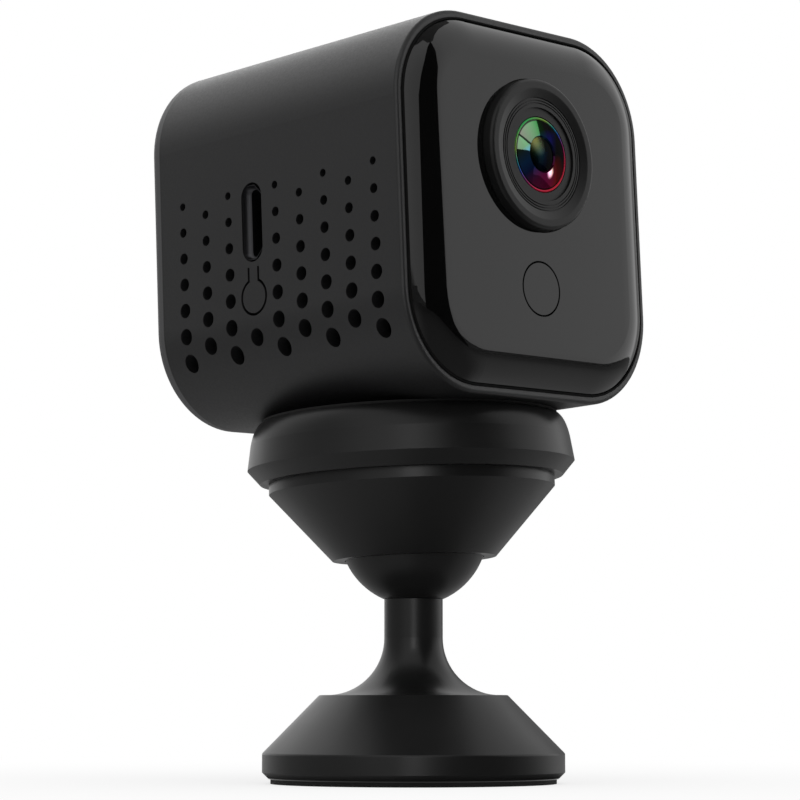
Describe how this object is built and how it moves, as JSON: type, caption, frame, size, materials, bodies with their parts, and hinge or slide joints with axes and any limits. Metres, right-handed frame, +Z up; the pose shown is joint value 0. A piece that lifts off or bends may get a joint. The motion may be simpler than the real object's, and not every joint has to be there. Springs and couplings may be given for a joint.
{
  "type": "security camera",
  "caption": "Small cube security camera with a round lens, vented sides and a glossy domed front, held by a magnet on a ball-joint desk stand with a weighted cone foot.",
  "frame": {"origin": "centre of the foot's underside", "axes": "+Z up, the lens looks along -Y, +X to the camera's left as it looks out"},
  "size_m": [0.038, 0.0416, 0.0801],
  "materials": {
    "shell_plastic": "fine matt",
    "gloss_panel": "polished",
    "gloss_button": "polished",
    "bezel_plastic": "satin",
    "lens_black": "matt",
    "coated_glass": "coated",
    "sensor_glass": "polished",
    "circuit_board": "solder mask",
    "brass_standoff": "turned",
    "lamp_resin": "dark resin",
    "tin_plate": "tinned",
    "zinc_steel": "zinc plated",
    "chip_plastic": "moulded",
    "battery_foil": "foil pouch",
    "cable_film": "film",
    "speaker_black": "matt",
    "pad_rubber": "matt",
    "satin_black": "satin",
    "nickel_magnet": "nickel plated",
    "seat_nylon": "natural"
  },
  "bodies": {
    "base": {"base_shell": "satin_black", "base_weight": "zinc_steel", "foot_pad": "pad_rubber", "ball_screw": "zinc_steel"},
    "ball": {"ball": "satin_black"},
    "socket": {"socket_cup": "satin_black", "socket_seat": "seat_nylon", "mount_disc": "satin_black", "disc_magnet": "nickel_magnet", "disc_screws": "zinc_steel"},
    "face_pad": {"mount_pad": "pad_rubber"},
    "camera": {"body_shell": "shell_plastic", "rear_cover": "shell_plastic", "front_panel": "gloss_panel", "lens_bezel": "bezel_plastic", "lens_barrel": "lens_black", "lens_holder": "lens_black", "front_lens": "coated_glass", "rear_lens": "coated_glass", "image_sensor": "sensor_glass", "sensor_board": "circuit_board", "sensor_standoffs": "brass_standoff", "front_board": "circuit_board", "infrared_lamps": "lamp_resin", "light_sensor": "lamp_resin", "microphone": "tin_plate", "button_switch": "tin_plate", "main_board": "circuit_board", "board_screws": "zinc_steel", "processor": "chip_plastic", "usb_port": "tin_plate", "reset_switch": "chip_plastic", "card_socket": "tin_plate", "battery": "battery_foil", "flat_cable": "cable_film", "speaker": "speaker_black", "wifi_antenna": "circuit_board", "steel_plate": "zinc_steel"},
    "button": {"front_button": "gloss_button"},
    "reset": {"reset_tongue": "shell_plastic"}
  },
  "joints": [
    {"name": "ball_pan", "type": "hinge", "parent": "base", "child": "ball", "pos_m": [0, 0, 0.027], "axis": [0, 0, 1], "continuous": true},
    {"name": "head_tilt", "type": "hinge", "parent": "ball", "child": "socket", "pos_m": [0, 0, 0.027], "axis": [1, 0, 0], "range_deg": [-37, 41]},
    {"name": "camera_spin", "type": "hinge", "parent": "socket", "child": "face_pad", "pos_m": [-0.00013, 0.00048, 0.03899], "axis": [-0.0105, 0.0401, 0.9991], "continuous": true},
    {"name": "camera_lift", "type": "slide", "parent": "face_pad", "child": "camera", "axis": [-0.0105, 0.0401, 0.9991], "range_m": [0, 0.015]},
    {"name": "button_press", "type": "slide", "parent": "camera", "child": "button", "axis": [0, 0.9992, -0.0401], "range_m": [0, 0.00035], "stiffness_N_per_m": 3000, "springref_m": -0.0001},
    {"name": "reset_press", "type": "hinge", "parent": "camera", "child": "reset", "pos_m": [-0.01799, 0.00489, 0.05424], "axis": [0, -0.9992, 0.0401], "range_deg": [0, 6], "stiffness_Nm_per_rad": 0.05, "springref_deg": -1.15}
  ]
}
